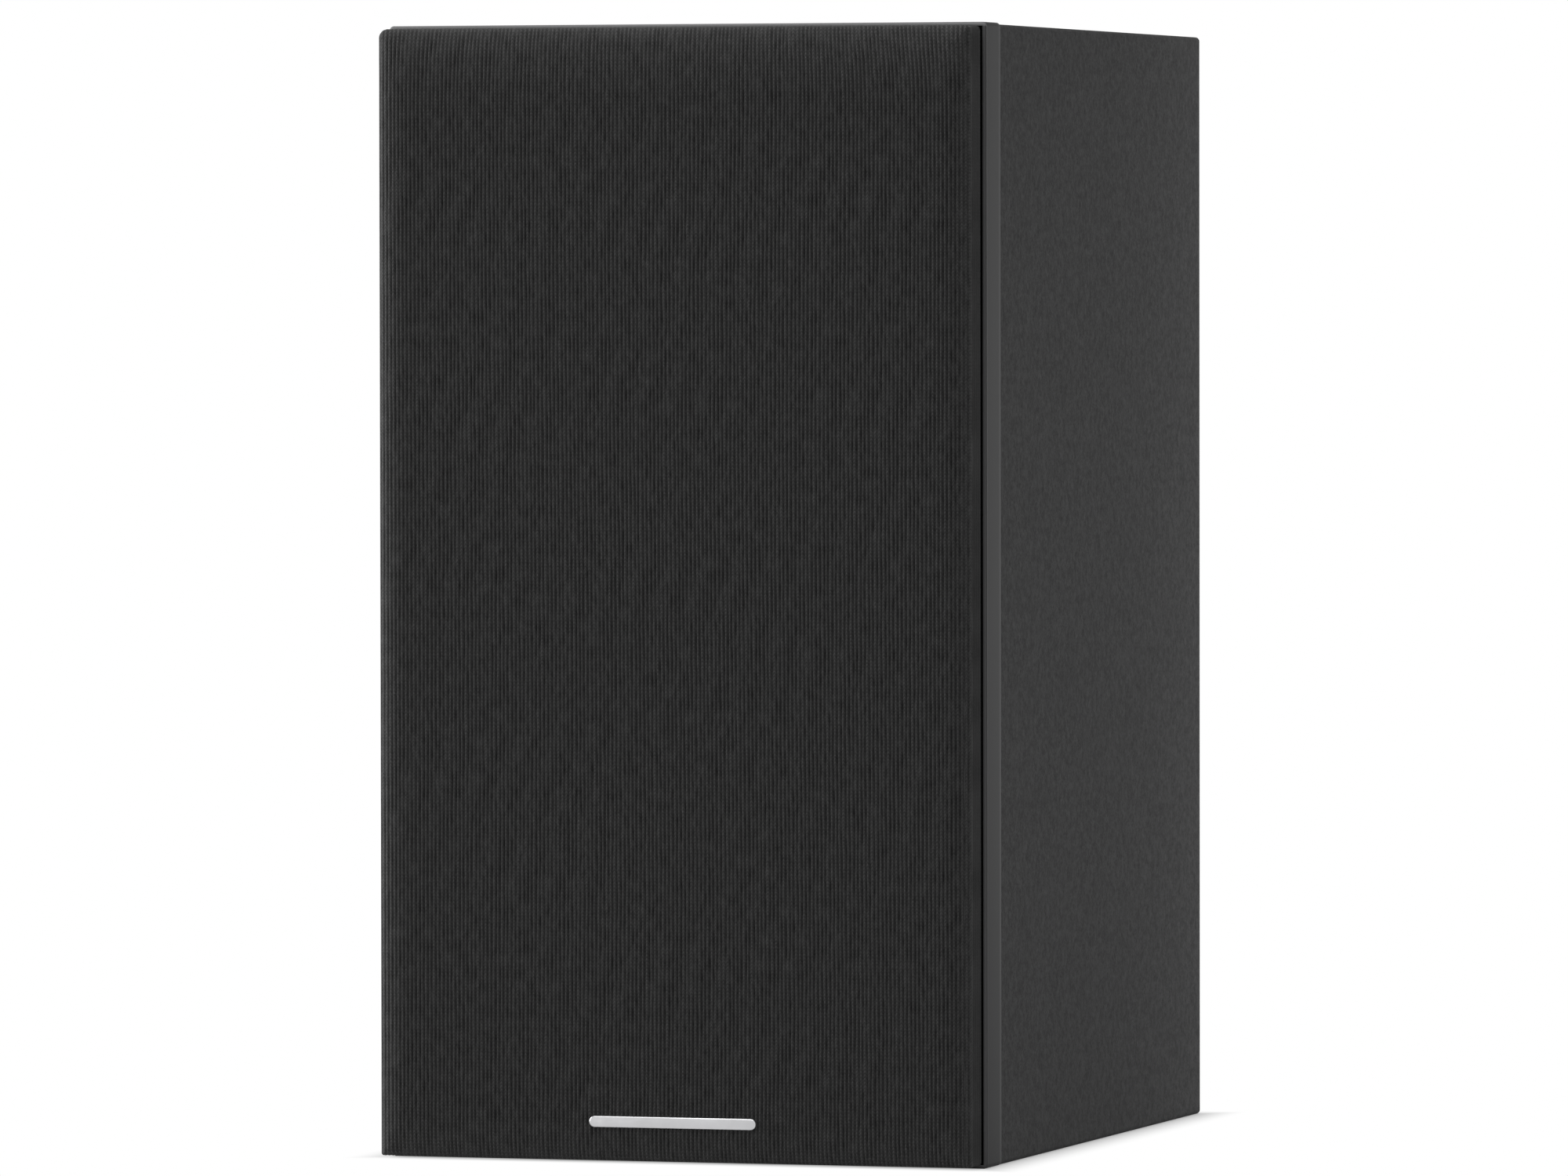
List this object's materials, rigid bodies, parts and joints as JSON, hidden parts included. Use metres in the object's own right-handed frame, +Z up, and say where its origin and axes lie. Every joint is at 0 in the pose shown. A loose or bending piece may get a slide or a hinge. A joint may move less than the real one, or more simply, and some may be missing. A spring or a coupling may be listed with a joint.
{
  "type": "bookshelf speaker",
  "caption": "Compact two-way bookshelf speaker: black wrapped cabinet with a full cloth grille, cone woofer, dome tweeter, rear port and binding posts.",
  "frame": {"origin": "middle of the base of the cabinet sleeve and baffle, on the surface that it stands on", "axes": "+Z up, -Y out of the front through the grille, +X to the right seen from the front"},
  "size_m": [0.165, 0.2292, 0.3],
  "materials": {
    "vinyl_wrap": "black woodgrain-free vinyl wrap, matte, over fibreboard",
    "baffle_paint": "satin dark grey paint over fibreboard",
    "rear_wrap": "matte black foil over fibreboard",
    "raw_board": "bare fibreboard",
    "wadding": "loose white polyester wadding",
    "grille_cloth": "charcoal ribbed knit cloth",
    "grille_moulding": "black moulded plastic",
    "black_moulding": "fine-grained black moulded plastic",
    "trim_moulding": "satin black moulded plastic",
    "basket_paint": "black painted pressed metal",
    "foam_gasket": "black closed-cell foam",
    "surround_rubber": "soft matte black rubber",
    "cone_pulp": "coated pulp, faintly mottled",
    "dust_cap_pulp": "coated pulp, satin",
    "spider_cloth": "resin-dipped woven cloth",
    "motor_steel": "zinc-plated steel",
    "ferrite": "dark grey sintered ferrite",
    "bright_magnet": "nickel-plated magnet",
    "former_foil": "thin foil",
    "copper_wire": "enamelled copper wire",
    "dome_silk": "coated black woven dome",
    "guard_mesh": "black painted perforated steel",
    "tag_fibre": "brown fibre strip",
    "gold_brass": "gold-plated brass",
    "screw_black": "black oxide steel screws",
    "knob_red": "clear red moulded plastic",
    "knob_black": "black moulded plastic",
    "board_laminate": "green circuit laminate",
    "capacitor_film": "yellow film wrap",
    "resistor_ceramic": "white cement",
    "cable_jacket": "black insulated wire"
  },
  "bodies": {
    "cabinet": {"top_panel": "vinyl_wrap", "bottom_panel": "vinyl_wrap", "left_side_panel": "vinyl_wrap", "right_side_panel": "vinyl_wrap", "rear_panel": "rear_wrap", "front_baffle": "baffle_paint", "baffle_magnets": "bright_magnet", "window_brace": "raw_board", "damping_wadding": "wadding", "port_mouth": "black_moulding", "port_tube": "black_moulding", "woofer_basket": "basket_paint", "woofer_gasket": "foam_gasket", "woofer_trim_ring": "trim_moulding", "woofer_top_plate": "motor_steel", "woofer_magnet": "ferrite", "woofer_yoke": "motor_steel", "woofer_spider": "spider_cloth", "woofer_surround": "surround_rubber", "woofer_screws": "screw_black", "tweeter_faceplate": "black_moulding", "tweeter_gasket": "foam_gasket", "tweeter_guard": "guard_mesh", "tweeter_surround": "dome_silk", "tweeter_top_plate": "motor_steel", "tweeter_magnet": "ferrite", "tweeter_yoke": "motor_steel", "tweeter_rear_chamber": "black_moulding", "tweeter_screws": "screw_black", "driver_tag_strips": "tag_fibre", "driver_tags": "gold_brass", "terminal_cup": "black_moulding", "terminal_gasket": "foam_gasket", "terminal_screws": "screw_black", "binding_posts": "gold_brass", "post_nuts": "gold_brass", "jumper_links": "gold_brass", "crossover_board": "board_laminate", "crossover_coils": "copper_wire", "crossover_capacitors": "capacitor_film", "crossover_resistors": "resistor_ceramic", "woofer_cable": "cable_jacket", "tweeter_cable": "cable_jacket"},
    "grille": {"grille_frame": "grille_moulding", "grille_cloth": "grille_cloth", "grille_magnets": "bright_magnet"},
    "woofer_moving": {"woofer_cone": "cone_pulp", "woofer_dust_cap": "dust_cap_pulp", "woofer_coil_former": "former_foil", "woofer_voice_coil": "copper_wire"},
    "tweeter_moving": {"tweeter_dome": "dome_silk", "tweeter_voice_coil": "copper_wire"},
    "terminal_washer_1": {"clamp_washer_1": "gold_brass"},
    "terminal_knob_1": {"terminal_knob_1": "knob_red"},
    "terminal_washer_2": {"clamp_washer_2": "gold_brass"},
    "terminal_knob_2": {"terminal_knob_2": "knob_red"},
    "terminal_washer_3": {"clamp_washer_3": "gold_brass"},
    "terminal_knob_3": {"terminal_knob_3": "knob_black"},
    "terminal_washer_4": {"clamp_washer_4": "gold_brass"},
    "terminal_knob_4": {"terminal_knob_4": "knob_black"}
  },
  "joints": [
    {"name": "grille_pull", "type": "slide", "parent": "cabinet", "child": "grille", "axis": [0, -1, 0], "range_m": [0, 0.04]},
    {"name": "woofer_stroke", "type": "slide", "parent": "cabinet", "child": "woofer_moving", "axis": [0, -1, 0], "range_m": [-0.004, 0.004], "stiffness_N_per_m": 1000, "deforming": ["woofer_surround", "woofer_spider"]},
    {"name": "tweeter_stroke", "type": "slide", "parent": "cabinet", "child": "tweeter_moving", "axis": [0, -1, 0], "range_m": [-0.0004, 0.0004], "stiffness_N_per_m": 1000, "deforming": ["tweeter_surround"]},
    {"name": "terminal_1_travel", "type": "slide", "parent": "cabinet", "child": "terminal_washer_1", "axis": [0, 1, 0], "range_m": [0, 0.006]},
    {"name": "terminal_1_turn", "type": "hinge", "parent": "terminal_washer_1", "child": "terminal_knob_1", "pos_m": [-0.00953, 0.0833, 0.06], "axis": [0, 1, 0], "range_deg": [0, 2160]},
    {"name": "terminal_2_travel", "type": "slide", "parent": "cabinet", "child": "terminal_washer_2", "axis": [0, 1, 0], "range_m": [0, 0.006]},
    {"name": "terminal_2_turn", "type": "hinge", "parent": "terminal_washer_2", "child": "terminal_knob_2", "pos_m": [-0.00953, 0.0833, 0.084], "axis": [0, 1, 0], "range_deg": [0, 2160]},
    {"name": "terminal_3_travel", "type": "slide", "parent": "cabinet", "child": "terminal_washer_3", "axis": [0, 1, 0], "range_m": [0, 0.006]},
    {"name": "terminal_3_turn", "type": "hinge", "parent": "terminal_washer_3", "child": "terminal_knob_3", "pos_m": [0.00953, 0.0833, 0.06], "axis": [0, 1, 0], "range_deg": [0, 2160]},
    {"name": "terminal_4_travel", "type": "slide", "parent": "cabinet", "child": "terminal_washer_4", "axis": [0, 1, 0], "range_m": [0, 0.006]},
    {"name": "terminal_4_turn", "type": "hinge", "parent": "terminal_washer_4", "child": "terminal_knob_4", "pos_m": [0.00953, 0.0833, 0.084], "axis": [0, 1, 0], "range_deg": [0, 2160]}
  ],
  "couplings": [
    {"joint": "terminal_1_turn", "follows": "terminal_1_travel", "rad_per_m": 6283.2},
    {"joint": "terminal_2_turn", "follows": "terminal_2_travel", "rad_per_m": 6283.2},
    {"joint": "terminal_3_turn", "follows": "terminal_3_travel", "rad_per_m": 6283.2},
    {"joint": "terminal_4_turn", "follows": "terminal_4_travel", "rad_per_m": 6283.2}
  ]
}
